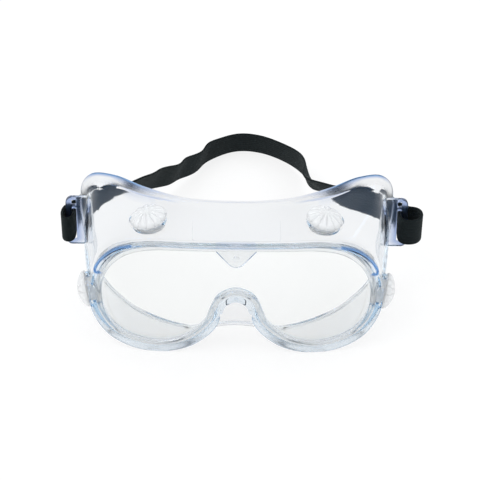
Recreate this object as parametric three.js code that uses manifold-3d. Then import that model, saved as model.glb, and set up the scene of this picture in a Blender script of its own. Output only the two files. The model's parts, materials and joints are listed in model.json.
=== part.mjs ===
// Splash-type safety goggles: one soft clear moulding that holds a bent lens, four two-part
// vents and a woven elastic strap. Millimetres; X to the right, Y back towards the wearer, Z up.
// The lens front is at Y 0 while modelling, and the whole assembly is shifted at the end so
// that the origin is the bottom centre of its box.

import * as THREE from 'three';
import { mergeVertices } from 'three/addons/utils/BufferGeometryUtils.js';
import Module from 'manifold-3d';

const wasm = await Module();
wasm.setup();

// ---------------------------------------------------------------- driving dimensions

const ORIGIN = { x: 2.8, y: 88.8 };   // middle of the whole box, from the lens front's centre
const LENS_BEND = 500;         // radius of the lens about a vertical axis
const WALL = 2.1;              // soft wall thickness
const STATIONS_PER_ROW = 3;    // sweep steps between two outline rows
const WALL_STEPS = [0.25, 0.5, 0.75];   // section points between the rim and the flange

const RIM_LIP = 6;             // how far the front lip reaches in over the lens at its widest
const RIM_LIP_THICK = 2;
const LENS_THICK = 1.9;
const LENS_GAP = 0.3;
const LENS_BLANK = { depth: 30, yBack: 20 };   // the prism that cuts the lens to its outline
const LENS_SLAB = { columns: 28, halfWidth: 80, foot: -5, height: 90 };
const GROOVE_ROOT = 2.6;       // bottom of the lens groove, in from the outer edge
const LEDGE = 5;               // inner ledge behind the lens
const LEDGE_THICK = 1.8;
const WALL_START = 7.6;        // where the plain wall begins, behind the lens front
const BEAD_DEPTH = 1.9;        // the retaining bead round the rim's front edge
const RIM_BEVEL = 0.5;         // how far the front face stays in from the outer edge
const LIP_RAKE = 0.3;          // the front lip's inner edge sits this far back
const CREASE_RAKE = 0.8;       // the flange's inner crease sits this far behind its outer one

const FLANGE_SWEEP = THREE.MathUtils.degToRad(35);   // face flange, back from square

const VENT_HOLE_R = 6;
const VENT_BOSS_R = 8.8;
const VENT_BOSS_THICK = 3.8;
const VENT_BOSS_PROUD = 0.7;   // boss seat above the wall's outer skin
const VENT_SPOT_INNER_R = 7.9;   // spot faces cut the wall back to the boss's flat ends
const VENT_SPOT_OUTER_R = 10;
const VENT_SPOT_INNER_DEPTH = 5;
const VENT_DRILL = 8;          // how far the bore's cutter reaches each way
const VENT_FLUTES = 12;
const VENT_FLUTE_DEPTH = 0.05; // share of the radius
const VENT_SIDES = 24;
const AIR_HOLES = { count: 6, radius: 1, ring: 4, length: 20, sides: 6 };

// Each strap lug has a slot for the strap and a small window above it.
const LUG = { inner: 76, outer: 89.3, foot: 34.6, top: 61.2, y: 47.6, thick: 3.2, corner: 3.2 };
const LUG_SLOT = { inner: 83.8, outer: 86.3, foot: 36.9, top: 54.8, corner: 0.9 };
const LUG_WINDOW = { inner: 83.8, outer: 86.3, foot: 56.6, top: 59.6, corner: 0.6 };
const LUG_LEAN = THREE.MathUtils.degToRad(14);

// Half of the tab over the middle of the lens (x, z), and the nub that stands on it.
const TAB = { top: [11.8, 69], shoulder: [4, 59], pull: [2.4, 56.8], tip: [0, 56.7] };
const TAB_PLATE = { front: 0.1, thick: 1.8 };
const NUB = { z: 62.8, y: -0.4, height: 1.6, frontRadius: 1.3, backRadius: 1.7 };

// Raised blocks on the crown wall: the brow pad, and the label panel that is left blank.
const BROW_PAD = { width: 19, yFront: -0.4, yBack: 4.6, top: 70.1, depth: 2.2, radius: 0.8 };
const CROWN_PANEL = { width: 44, yFront: 5.4, yBack: 24, top: 69.75, depth: 1.4, radius: 2 };

const STRAP_WIDTH = 16;
const STRAP_THICK = 1.5;
const STRAP_LOOP_Z = 38;       // lower edge of the strap where it rounds the lug

// Right half of the moulding, from the top centre clockwise to the nose bridge. Each row
// pairs a point on the front rim's outer edge with one on the face flange's outer edge.
// reach is how far the front lip, groove and ledge come in, as a share of their full depth,
// flange is the face flange's width, bead how far the rim's retaining bead stands proud, and
// bulge how far the wall swells outwards halfway back.
const OUTLINE = [
  { front: [0, 69.3], rear: [0, 36.9, 71.0], reach: 0.48, flange: 1.6, bead: 0.8, bulge: 0 },
  { front: [24, 69.3], rear: [27, 38.9, 71.6], reach: 0.5, flange: 2.6, bead: 0.8, bulge: 0 },
  { front: [45, 69.0], rear: [47, 46.0, 72.8], reach: 0.62, flange: 4.6, bead: 0.8, bulge: 0.3 },
  { front: [58.5, 65.6], rear: [63, 55.2, 73.4], reach: 0.9, flange: 5.4, bead: 0.8, bulge: 1.2 },
  { front: [67.5, 57.6], rear: [75, 59.3, 71.6], reach: 1, flange: 5.5, bead: 0.8, bulge: 2 },
  { front: [72.6, 47.0], rear: [81.3, 61.0, 64.0], reach: 1, flange: 5.5, bead: 0, bulge: 2.6 },
  { front: [74.2, 35.5], rear: [82.4, 60.4, 50.0], reach: 1, flange: 5.5, bead: 0.8, bulge: 2.8 },
  { front: [72.3, 22.0], rear: [80.2, 56.2, 28.0], reach: 1, flange: 5.0, bead: 0.8, bulge: 2.6 },
  { front: [65.0, 9.4], rear: [75.2, 51.0, 9.5], reach: 1, flange: 4.6, bead: 0.8, bulge: 1.6 },
  { front: [53.0, 2.2], rear: [62, 41.8, 0.6], reach: 1, flange: 4.4, bead: 0.8, bulge: 0.3 },
  { front: [39.3, 0.4], rear: [45, 28.6, -0.2], reach: 1, flange: 4.0, bead: 0.8, bulge: 0 },
  { front: [25.8, 4.0], rear: [32, 21.6, 0.2], reach: 1, flange: 3.2, bead: 0.8, bulge: 0 },
  { front: [16.3, 11.0], rear: [23, 18.0, 1.2], reach: 1, flange: 2.6, bead: 0.8, bulge: 0 },
  { front: [10.7, 18.3], rear: [16.5, 16.2, 3.0], reach: 1, flange: 2.2, bead: 0.8, bulge: 0 },
  { front: [8.0, 26.0], rear: [11, 15.0, 4.8], reach: 1, flange: 2.0, bead: 0.4, bulge: 0 },
  { front: [5.4, 32.4], rear: [5.5, 14.3, 6.4], reach: 1, flange: 2.0, bead: 0.8, bulge: 0 },
  { front: [0, 35.2], rear: [0, 14.0, 7.0], reach: 1, flange: 2.0, bead: 0.8, bulge: 0 },
];

// Each vent sits on the wall at this point, and its axis points outwards.
const VENTS = [
  { name: 'top_left', at: [-44, 22.8, 69.2], axis: [-0.2, 0, 1] },
  { name: 'top_right', at: [44, 22.8, 69.2], axis: [0.2, 0, 1] },
  { name: 'side_left', at: [-75.5, 18.5, 28], axis: [-1, -0.1, -0.17] },
  { name: 'side_right', at: [75.5, 18.5, 28], axis: [1, -0.1, -0.17] },
];

// Middle line of the free strap from the wearer's right lug to the left one, as it droops to
// the table: x, y, z and the lean of the band's width in degrees.
const STRAP_PATH = [
  [-83.1, 66, 41, 0], [-82.2, 72, 39.4, -2], [-76, 82, 36.4, -26], [-66, 95, 32, -42],
  [-55.5, 109, 26, -34], [-46.5, 122.5, 20, -20], [-37.5, 136, 14.5, -14], [-28.5, 149, 10.5, -12],
  [-19.5, 163, 8.6, -10], [-9, 172.5, 8.1, -11], [2, 176.5, 8.1, -11], [15, 174, 8.1, -11],
  [27.5, 165, 8.6, -12], [36, 152, 10.5, -16], [39.5, 138, 14, -28], [43.5, 123, 18.5, -32],
  [52.5, 107, 25, -16], [65, 91, 31.5, -8], [77.5, 78, 37, -4], [82.2, 72, 39.4, -2],
  [83.1, 66, 41, 0],
];
const STRAP_STEPS = 64;
const LOOP_STEPS = 44;

const TABLE = { width: 300, depth: 20 };   // the block that trims what dips under the table

// Middle line of each sewn end loop in plan: in along the slot, round the lug's outer bar and
// back to the sewn tail. The left loop is pulled tight and the right one hangs slack.
const LOOP_TAIL_Y = 69.5;
const LOOP_SEAM_Y = 63;
const LOOP_TIGHT = [
  [85.05, 56], [85.05, 49], [85.6, 45.5], [87.8, 43.8], [90.4, 45.1], [91.2, 49.3], [90.6, 54.3],
  [88.6, 59.3], [87.1, 63],
];
const LOOP_SLACK = [
  [85.05, 56], [85.05, 48.5], [85.9, 45.2], [89.2, 43.9], [93.9, 44.8], [96.5, 48.2],
  [96.4, 52.6], [93.9, 56.8], [89.2, 60], [87.1, 63.5],
];
const LOOP_LEG_INNER = 85.05;
const LOOP_LEG_OUTER = 87.1;
const LOOP_DROP = { fromY: 52, slope: 0.34 };   // the loop's tail falls away behind the lug

// ---------------------------------------------------------------- solids and materials

function toSolid(geometry) {
  const bare = geometry.clone();
  bare.deleteAttribute('normal');
  bare.deleteAttribute('uv');
  const merged = mergeVertices(bare, 1e-4);
  return new wasm.Manifold(new wasm.Mesh({
    numProp: 3,
    vertProperties: merged.attributes.position.array,
    triVerts: Uint32Array.from(merged.index.array),
  }));
}

function fromSolid(solid) {
  const mesh = solid.getMesh();
  const geometry = new THREE.BufferGeometry();
  geometry.setAttribute('position', new THREE.BufferAttribute(mesh.vertProperties, 3));
  geometry.setIndex(new THREE.BufferAttribute(mesh.triVerts, 1));
  return geometry;
}

const MATERIALS = {
  vinyl: { color: 0xe2ebf4, roughness: 0.12, metalness: 0, transparent: true, opacity: 0.35 },
  lens: { color: 0xf1f5f3, roughness: 0.04, metalness: 0, transparent: true, opacity: 0.25 },
  vent: { color: 0xf0f2f2, roughness: 0.2, metalness: 0, transparent: true, opacity: 0.55 },
  webbing: { color: 0x1b2322, roughness: 0.9, metalness: 0 },
};

function addPiece(group, name, geometry, finish) {
  const mesh = new THREE.Mesh(geometry, new THREE.MeshStandardMaterial(MATERIALS[finish]));
  mesh.name = name;
  group.add(mesh);
}

// A closed skin over rings of equal length. closed joins the last ring to the first, and
// otherwise both ends are capped with a fan.
function loft(rings, closed) {
  const count = rings[0].length;
  const positions = rings.flat().flatMap((point) => point.toArray());
  const index = [];
  const spans = closed ? rings.length : rings.length - 1;
  for (let i = 0; i < spans; i += 1) {
    const here = i * count;
    const next = ((i + 1) % rings.length) * count;
    for (let j = 0; j < count; j += 1) {
      const k = (j + 1) % count;
      index.push(here + j, next + k, next + j, here + j, here + k, next + k);
    }
  }
  if (!closed) {
    const last = (rings.length - 1) * count;
    for (let j = 1; j < count - 1; j += 1) {
      index.push(0, j + 1, j, last, last + j, last + j + 1);
    }
  }
  const geometry = new THREE.BufferGeometry();
  geometry.setAttribute('position', new THREE.Float32BufferAttribute(positions, 3));
  geometry.setIndex(index);
  return geometry;
}

// ---------------------------------------------------------------- moulding

const bend = (x) => (x * x) / (2 * LENS_BEND);

// The whole closed outline from its right half: the first and last rows lie on the mirror plane.
function mirrored(pick) {
  const right = OUTLINE.map(pick);
  const left = right.slice(1, -1).reverse().map((p) => new THREE.Vector3(-p.x, p.y, p.z));
  return new THREE.CatmullRomCurve3([...right, ...left], true, 'centripetal');
}

const frontCurve = mirrored((row) => new THREE.Vector3(row.front[0], 0, row.front[1]));
const rearCurve = mirrored((row) => new THREE.Vector3(...row.rear));
const rowCount = frontCurve.points.length;

// A trim value at t, a place round the outline, straight between rows.
function trimAt(key, t) {
  const place = t * rowCount;
  const row = Math.floor(place);
  const value = (i) => OUTLINE[Math.min(i % rowCount, (rowCount - (i % rowCount)))][key];
  return THREE.MathUtils.lerp(value(row), value(row + 1), place - row);
}

function outwardAt(curve, t) {
  const tangent = curve.getTangent(t);
  return new THREE.Vector3(-tangent.z, 0, tangent.x).normalize();
}

// The moulding's section at t: front lip, lens groove, inner ledge, wall and face flange.
function mouldingSection(t) {
  const front = frontCurve.getPoint(t);
  const frontOut = outwardAt(frontCurve, t);
  const bead = trimAt('bead', t);
  const reach = trimAt('reach', t);
  const onRim = (inward, back) => {
    const x = front.x - frontOut.x * inward;
    return new THREE.Vector3(x, bend(x) + back, front.z - frontOut.z * inward);
  };

  const rear = rearCurve.getPoint(t);
  const rearOut = outwardAt(rearCurve, t);
  const back = new THREE.Vector3(0, 1, 0);
  const along = rearOut.clone().multiplyScalar(Math.cos(FLANGE_SWEEP));
  along.addScaledVector(back, Math.sin(FLANGE_SWEEP));
  const through = back.clone().multiplyScalar(Math.cos(FLANGE_SWEEP));
  through.addScaledVector(rearOut, -Math.sin(FLANGE_SWEEP));
  const creaseOut = rear.clone().addScaledVector(along, -trimAt('flange', t));
  const creaseIn = creaseOut.clone().addScaledVector(rearOut, -WALL);
  creaseIn.addScaledVector(back, CREASE_RAKE);

  const wallOut = onRim(0, WALL_START);
  const wallIn = onRim(WALL, WALL_START);
  const swell = frontOut.clone().add(rearOut).normalize().multiplyScalar(trimAt('bulge', t));
  const between = (from, to, s) => from.clone().lerp(to, s).addScaledVector(swell, 4 * s * (1 - s));
  const groove = RIM_LIP_THICK + LENS_THICK + 2 * LENS_GAP;
  return [
    onRim(RIM_BEVEL, 0),
    onRim(RIM_LIP * reach, LIP_RAKE),
    onRim(RIM_LIP * reach, RIM_LIP_THICK),
    onRim(GROOVE_ROOT * reach, RIM_LIP_THICK),
    onRim(GROOVE_ROOT * reach, groove),
    onRim(LEDGE * reach, groove),
    onRim(LEDGE * reach, groove + LEDGE_THICK),
    wallIn,
    ...WALL_STEPS.map((s) => between(wallIn, creaseIn, s)),
    creaseIn,
    rear.clone().addScaledVector(through, WALL),
    rear,
    creaseOut,
    ...WALL_STEPS.map((s) => between(creaseOut, wallOut, s)),
    wallOut,
    onRim(-bead, BEAD_DEPTH),
    onRim(-bead, 0.2 - 0.6 * bead),
  ];
}

function mouldingBody() {
  const steps = rowCount * STATIONS_PER_ROW;
  const sections = Array.from({ length: steps }, (_, i) => mouldingSection(i / steps));
  return toSolid(loft(sections, true));
}

// ---------------------------------------------------------------- details on the moulding

function roundedRectangle(path, x0, y0, x1, y1, radius) {
  path.moveTo(x0 + radius, y0);
  path.lineTo(x1 - radius, y0);
  path.absarc(x1 - radius, y0 + radius, radius, -Math.PI / 2, 0, false);
  path.lineTo(x1, y1 - radius);
  path.absarc(x1 - radius, y1 - radius, radius, 0, Math.PI / 2, false);
  path.lineTo(x0 + radius, y1);
  path.absarc(x0 + radius, y1 - radius, radius, Math.PI / 2, Math.PI, false);
  path.lineTo(x0, y0 + radius);
  path.absarc(x0 + radius, y0 + radius, radius, Math.PI, Math.PI * 1.5, false);
  return path;
}

// Strap lug: a flat ear beside the wall, leaning back, with an upright slot for the strap.
function lugBody(side) {
  const outline = (path, { inner, outer, foot, top, corner }) => (
    roundedRectangle(path, inner, foot - LUG.foot, outer, top - LUG.foot, corner)
  );
  const shape = outline(new THREE.Shape(), LUG);
  shape.holes.push(outline(new THREE.Path(), LUG_SLOT), outline(new THREE.Path(), LUG_WINDOW));
  const geometry = new THREE.ExtrudeGeometry(shape, {
    depth: LUG.thick, bevelEnabled: false, curveSegments: 4,
  });
  geometry.translate(0, 0, -LUG.thick / 2);
  geometry.rotateX(Math.PI / 2 - LUG_LEAN);
  geometry.translate(0, LUG.y, LUG.foot);
  const right = toSolid(geometry);
  return side > 0 ? right : right.mirror([1, 0, 0]);
}

// Tab over the middle of the lens, below the brow, with a small moulded nub on it.
function browTab() {
  const { top, shoulder, pull, tip } = TAB;
  const shape = new THREE.Shape();
  shape.moveTo(-top[0], top[1]);
  shape.lineTo(-shoulder[0], shoulder[1]);
  shape.quadraticCurveTo(-pull[0], pull[1], ...tip);
  shape.quadraticCurveTo(...pull, ...shoulder);
  shape.lineTo(...top);
  const tab = new THREE.ExtrudeGeometry(shape, {
    depth: TAB_PLATE.thick, bevelEnabled: false, curveSegments: 3,
  });
  tab.rotateX(Math.PI / 2);
  tab.translate(0, TAB_PLATE.front + TAB_PLATE.thick, 0);
  const nub = new THREE.CylinderGeometry(NUB.frontRadius, NUB.backRadius, NUB.height, 16);
  nub.translate(0, NUB.y, NUB.z);
  return toSolid(tab).add(toSolid(nub));
}

// A raised block on the mirror plane, with its top parallel to the crown wall.
function crownBlock({ width, yFront, yBack, top, depth, radius }) {
  const shape = roundedRectangle(new THREE.Shape(), -width / 2, yFront, width / 2, yBack, radius);
  const block = new THREE.ExtrudeGeometry(shape, { depth, bevelEnabled: false, curveSegments: 4 });
  block.translate(0, 0, top - depth);
  return toSolid(block);
}

function onVent(geometry, vent) {
  const axis = new THREE.Vector3(...vent.axis).normalize();
  geometry.applyQuaternion(new THREE.Quaternion().setFromUnitVectors(new THREE.Vector3(0, 1, 0), axis));
  geometry.translate(...vent.at);
  return geometry;
}

function ventBoss(vent) {
  const boss = new THREE.CylinderGeometry(VENT_BOSS_R, VENT_BOSS_R, VENT_BOSS_THICK, VENT_SIDES);
  boss.translate(0, VENT_BOSS_PROUD - VENT_BOSS_THICK / 2, 0);
  return toSolid(onVent(boss, vent));
}

// The bore, and a spot face on each side that leaves the boss flat under base and cap.
function ventBore(vent) {
  const drill = (radius, from, to) => {
    const cutter = new THREE.CylinderGeometry(radius, radius, to - from, VENT_SIDES);
    cutter.translate(0, (from + to) / 2, 0);
    return toSolid(onVent(cutter, vent));
  };
  const inside = VENT_BOSS_PROUD - VENT_BOSS_THICK;
  return drill(VENT_HOLE_R, -VENT_DRILL, VENT_DRILL)
    .add(drill(VENT_SPOT_INNER_R, inside - VENT_SPOT_INNER_DEPTH, inside))
    .add(drill(VENT_SPOT_OUTER_R, VENT_BOSS_PROUD, VENT_BOSS_PROUD + VENT_DRILL));
}

// Everything under the table plane is trimmed, so the rim and the flange rest on true flats.
function tableTrim() {
  const { width, depth } = TABLE;
  const below = new THREE.BoxGeometry(width, width, depth);
  below.translate(0, 0, -depth / 2);
  return toSolid(below);
}

function mouldedFrame() {
  let frame = mouldingBody().add(browTab()).add(lugBody(1)).add(lugBody(-1));
  frame = frame.add(crownBlock(BROW_PAD)).add(crownBlock(CROWN_PANEL));
  for (const vent of VENTS) frame = frame.add(ventBoss(vent));
  for (const vent of VENTS) frame = frame.subtract(ventBore(vent));
  return fromSolid(frame.subtract(tableTrim()));
}

// ---------------------------------------------------------------- lens

// The lens is a bent slab cut to the outline of the groove, less a small gap all round.
function lensBody() {
  const steps = rowCount * STATIONS_PER_ROW;
  const outline = new THREE.Shape(Array.from({ length: steps }, (_, i) => {
    const t = i / steps;
    const inset = GROOVE_ROOT * trimAt('reach', t) + LENS_GAP;
    const point = frontCurve.getPoint(t).addScaledVector(outwardAt(frontCurve, t), -inset);
    return new THREE.Vector2(point.x, point.z);
  }));
  const blank = new THREE.ExtrudeGeometry(outline, { depth: LENS_BLANK.depth, bevelEnabled: false });
  blank.rotateX(Math.PI / 2);
  blank.translate(0, LENS_BLANK.yBack, 0);

  const face = RIM_LIP_THICK + LENS_GAP;
  const { columns, halfWidth, foot, height } = LENS_SLAB;
  const arc = (y) => Array.from({ length: columns + 1 }, (_, i) => {
    const x = -halfWidth + (2 * halfWidth * i) / columns;
    return new THREE.Vector2(x, bend(x) + y);
  });
  const slab = new THREE.Shape([...arc(face), ...arc(face + LENS_THICK).reverse()]);
  const plate = new THREE.ExtrudeGeometry(slab, { depth: height, bevelEnabled: false });
  plate.translate(0, 0, foot);
  return fromSolid(toSolid(plate).intersect(toSolid(blank)));
}

// ---------------------------------------------------------------- vents

const lathe = (points, segments) => (
  new THREE.LatheGeometry(points.map((p) => new THREE.Vector2(...p)), segments)
);

// Snap-in base: a spool through the boss with a central bore and a ring of air holes.
function ventBase(vent) {
  const seat = VENT_BOSS_PROUD;
  const inside = seat - VENT_BOSS_THICK;
  const spool = lathe([
    [2.3, inside - 1.5], [7.4, inside - 1.5], [7.4, inside - 0.3], [5.7, inside - 0.3],
    [5.7, seat + 0.3], [7.4, seat + 0.3], [7.4, seat + 1.3], [2.3, seat + 1.3],
    [2.3, inside - 1.5],
  ], VENT_SIDES);
  let base = toSolid(spool);
  const { count, radius, ring, length, sides } = AIR_HOLES;
  for (let i = 0; i < count; i += 1) {
    const angle = (2 * Math.PI * i) / count;
    const hole = new THREE.CylinderGeometry(radius, radius, length, sides);
    hole.translate(ring * Math.cos(angle), 0, ring * Math.sin(angle));
    base = base.subtract(toSolid(hole));
  }
  return onVent(fromSolid(base), vent);
}

// Cap: a fluted dome whose skirt shields the base, on a post that snaps through its bore.
function ventCap(vent) {
  const seat = VENT_BOSS_PROUD;
  const tip = seat - VENT_BOSS_THICK - 1.5;
  const inner = [
    [0, tip - 1.5], [2.1, tip - 1.5], [2.7, tip - 0.9], [2.7, tip - 0.4], [2, tip - 0.3],
    [2, seat + 3], [6.6, seat + 2.5], [8.3, seat + 1.5], [8.3, seat + 0.4],
  ];
  const outer = [
    [9.4, seat + 0.4], [9.4, seat + 1.5], [8.3, seat + 3], [6, seat + 4.4],
    [3.4, seat + 5.3], [1.5, seat + 5.7], [0, seat + 5.8],
  ];
  const cap = lathe([...inner, ...outer], 2 * VENT_FLUTES);
  const profileCount = inner.length + outer.length;
  const valleyScale = 1 - VENT_FLUTE_DEPTH;
  const position = cap.attributes.position;
  for (let i = 0; i < position.count; i += 1) {
    const onDome = i % profileCount >= inner.length && i % profileCount < profileCount - 2;
    const valley = Math.floor(i / profileCount) % 2 === 1;
    if (onDome && valley) {
      position.setX(i, position.getX(i) * valleyScale);
      position.setZ(i, position.getZ(i) * valleyScale);
    }
  }
  return onVent(cap, vent);
}

// ---------------------------------------------------------------- strap

// The free part of the strap: an upright band that leans and droops along its path.
function strapBand() {
  const middle = new THREE.CatmullRomCurve3(
    STRAP_PATH.map(([x, y, z]) => new THREE.Vector3(x, y, z)), false, 'catmullrom', 0.5,
  );
  const leans = new THREE.CatmullRomCurve3(
    STRAP_PATH.map((row) => new THREE.Vector3(row[3], 0, 0)), false, 'catmullrom', 0.5,
  );
  const up = new THREE.Vector3(0, 0, 1);
  const sections = [];
  for (let i = 0; i <= STRAP_STEPS; i += 1) {
    const t = i / STRAP_STEPS;
    const centre = middle.getPoint(t);
    const tangent = middle.getTangent(t);
    const side = new THREE.Vector3().crossVectors(up, tangent).setZ(0).normalize();
    const flat = new THREE.Vector3().crossVectors(tangent, side).normalize();
    const width = flat.applyAxisAngle(tangent, -THREE.MathUtils.degToRad(leans.getPoint(t).x));
    const thick = new THREE.Vector3().crossVectors(width, tangent).normalize();
    const corner = (w, s) => centre.clone()
      .addScaledVector(width, (w * STRAP_WIDTH) / 2)
      .addScaledVector(thick, (s * STRAP_THICK) / 2);
    sections.push([corner(1, 1), corner(1, -1), corner(-1, -1), corner(-1, 1)]);
  }
  return loft(sections, false);
}

// One sewn end loop, upright, as the outline of a band of even thickness round its middle line.
function strapLoop(side, route) {
  const curve = new THREE.SplineCurve([
    new THREE.Vector2(LOOP_LEG_INNER, LOOP_TAIL_Y),
    new THREE.Vector2(LOOP_LEG_INNER, LOOP_SEAM_Y),
    ...route.map((p) => new THREE.Vector2(...p)),
    new THREE.Vector2(LOOP_LEG_OUTER, LOOP_TAIL_Y),
  ]);
  const edge = (offset) => Array.from({ length: LOOP_STEPS + 1 }, (_, i) => {
    const t = i / LOOP_STEPS;
    const tangent = curve.getTangent(t);
    return curve.getPoint(t).add(new THREE.Vector2(-tangent.y, tangent.x).multiplyScalar(offset));
  });
  const shape = new THREE.Shape([
    ...edge(STRAP_THICK / 2), ...edge(-STRAP_THICK / 2).reverse(),
  ]);
  const band = new THREE.ExtrudeGeometry(shape, { depth: STRAP_WIDTH, bevelEnabled: false });
  band.translate(0, 0, STRAP_LOOP_Z);
  const position = band.attributes.position;
  for (let i = 0; i < position.count; i += 1) {
    const drop = LOOP_DROP.slope * Math.max(0, position.getY(i) - LOOP_DROP.fromY);
    position.setZ(i, position.getZ(i) - drop);
  }
  const right = toSolid(band);
  return fromSolid(side > 0 ? right : right.mirror([1, 0, 0]));
}

// ---------------------------------------------------------------- assembly

const goggles = new THREE.Group();
goggles.position.set(-ORIGIN.x, -ORIGIN.y, 0);
addPiece(goggles, 'frame', mouldedFrame(), 'vinyl');
addPiece(goggles, 'lens', lensBody(), 'lens');
for (const vent of VENTS) {
  addPiece(goggles, `vent_base_${vent.name}`, ventBase(vent), 'vent');
  addPiece(goggles, `vent_cap_${vent.name}`, ventCap(vent), 'vent');
}
addPiece(goggles, 'strap', strapBand(), 'webbing');
addPiece(goggles, 'strap_loop_left', strapLoop(-1, LOOP_TIGHT), 'webbing');
addPiece(goggles, 'strap_loop_right', strapLoop(1, LOOP_SLACK), 'webbing');

export default goggles;
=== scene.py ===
"""Safety goggles: the looks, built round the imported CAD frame. Metres, in the CAD row frame."""

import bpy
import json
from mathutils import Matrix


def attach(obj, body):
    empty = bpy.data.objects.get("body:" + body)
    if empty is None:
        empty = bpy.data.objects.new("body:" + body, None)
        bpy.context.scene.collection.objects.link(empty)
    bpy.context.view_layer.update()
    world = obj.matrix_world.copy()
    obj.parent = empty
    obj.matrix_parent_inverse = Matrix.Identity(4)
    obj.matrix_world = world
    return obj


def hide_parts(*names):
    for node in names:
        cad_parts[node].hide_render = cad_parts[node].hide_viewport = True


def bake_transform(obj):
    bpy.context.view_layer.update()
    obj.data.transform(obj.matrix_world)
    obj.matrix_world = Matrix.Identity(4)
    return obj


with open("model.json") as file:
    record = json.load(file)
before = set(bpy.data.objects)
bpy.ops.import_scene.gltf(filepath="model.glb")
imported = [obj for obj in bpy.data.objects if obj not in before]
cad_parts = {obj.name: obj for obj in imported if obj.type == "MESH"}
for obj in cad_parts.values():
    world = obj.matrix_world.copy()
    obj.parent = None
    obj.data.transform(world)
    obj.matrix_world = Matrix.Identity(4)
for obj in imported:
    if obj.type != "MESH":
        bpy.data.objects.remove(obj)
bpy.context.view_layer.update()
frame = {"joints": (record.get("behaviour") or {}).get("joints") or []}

import json
import math

import bmesh
import bpy
import numpy as np
from mathutils import Matrix, Vector
from mathutils.kdtree import KDTree

# ---------------------------------------------------------------- driving dimensions (mm)
# Shapes are worked out in the goggles' own frame, as in the CAD source: X to the right, Y back
# from the front of the lens, Z up from the table. SHIFT takes them to the row frame.

LENS_BEND = 500.0  # radius of the lens about a vertical axis
WALL = 2.1
RIM_LIP, RIM_LIP_THICK = 6.0, 2.0
RIM_BEVEL, LIP_RAKE = 0.5, 0.3
LENS_THICK, LENS_GAP = 1.9, 0.3
LENS_BLANK = (-10, 30)  # front and back of the prism that cuts the lens to its outline
LENS_SLAB = dict(half=80, foot=-5, top=90, columns=161)
GROOVE_ROOT, LEDGE, LEDGE_THICK = 2.6, 5.0, 1.8
WALL_START = 7.6  # where the plain wall begins, behind the lens front
CREASE_RAKE = 0.8  # the flange's inner crease sits this far behind its outer one
FLANGE_SWEEP = math.radians(35)
STATIONS = 512  # sections round the rim

# front x, z; rear x, y, z; flange width; bulge; rim reach. Right half, from the top centre
# clockwise. Reach is how far the lip, groove and ledge come in, as a share of their full depth.
OUTLINE = [
    (0, 69.3, 0, 36.9, 71.0, 1.6, 0, 0.48),
    (24, 69.3, 27, 38.9, 71.6, 2.6, 0, 0.5),
    (45, 69.0, 47, 46.0, 72.8, 4.6, 0.3, 0.62),
    (58.5, 65.6, 63, 55.2, 73.4, 5.4, 1.2, 0.9),
    (67.5, 57.6, 75, 59.3, 71.6, 5.5, 2, 1),
    (72.6, 47.0, 81.3, 61.0, 64.0, 5.5, 2.6, 1),
    (74.2, 35.5, 82.4, 60.4, 50.0, 5.5, 2.8, 1),
    (72.3, 22.0, 80.2, 56.2, 28.0, 5.0, 2.6, 1),
    (65.0, 9.4, 75.2, 51.0, 9.5, 4.6, 1.6, 1),
    (53.0, 2.2, 62, 41.8, 0.6, 4.4, 0.3, 1),
    (39.3, 0.4, 45, 28.6, -0.2, 4.0, 0, 1),
    (25.8, 4.0, 32, 21.6, 0.2, 3.2, 0, 1),
    (16.3, 11.0, 23, 18.0, 1.2, 2.6, 0, 1),
    (10.7, 18.3, 16.5, 16.2, 3.0, 2.2, 0, 1),
    (8.0, 26.0, 11, 15.0, 4.8, 2.0, 0, 1),
    (5.4, 32.4, 5.5, 14.3, 6.4, 2.0, 0, 1),
    (0, 35.2, 0, 14.0, 7.0, 2.0, 0, 1),
]
ROWS = 2 * (len(OUTLINE) - 1)

BEAD, BEAD_DEPTH = 0.8, 1.9
BEAD_RUNS = [(-1.0, 4.62), (5.74, 13.72), (14.06, 17.0)]  # in outline rows, right half
BEAD_FADE = 0.07  # how soon a run of the bead begins and ends, in rows

# The bead curls in at the brow's corners. Outline row, and how far in from the outer edge.
HOOK_PLACES = [
    (2.5, -0.3), (3.0, -0.35), (3.5, -0.35), (4.0, -0.35), (4.35, -0.35), (4.5, -0.3),
    (4.62, 0.0), (4.72, 0.7), (4.74, 1.6), (4.66, 2.5),
]
HOOK_BACK, HOOK_POINTS = 0.15, 80
HOOK_R_FIRST, HOOK_R_LAST, HOOK_R_MOST = 0.3, 1.2, 0.62  # grows evenly, but to no more than this

TAB = dict(top=(-11.8, 69.0), shoulder=(-4.0, 59.0), pull=(-2.4, 56.8), tip=(0.0, 56.7))
TAB_THICK, TAB_EDGE, TAB_Y = 1.8, 0.4, 1.0
NUB = [(0, -0.9), (0, 1.6), (1.1, 1.6), (1.5, 1.0), (1.75, 0), (1.75, -0.9)]  # radius, height
NUB_EDGE, NUB_AT = 0.35, (0, 0.4, 62.8)

# Raised blocks on the crown wall: the brow pad, and the label panel that is left blank.
BROW_PAD = dict(width=19, front=-0.4, back=4.6, top=70.1, depth=2.2, corner=0.8, edge=0.5)
CROWN_PANEL = dict(width=44, front=5.4, back=24, top=69.75, depth=1.4, corner=2, edge=0.25)

TOP_RIBS = [(-61.8, 6.5), (-59.3, 6.5), (20.8, 4.5), (58.6, 4.0)]  # x and length, on the top wall
TOP_RIB_Y, TOP_RIB_SINK, TOP_RIB_R = 3.6, 0.08, 0.42

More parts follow.
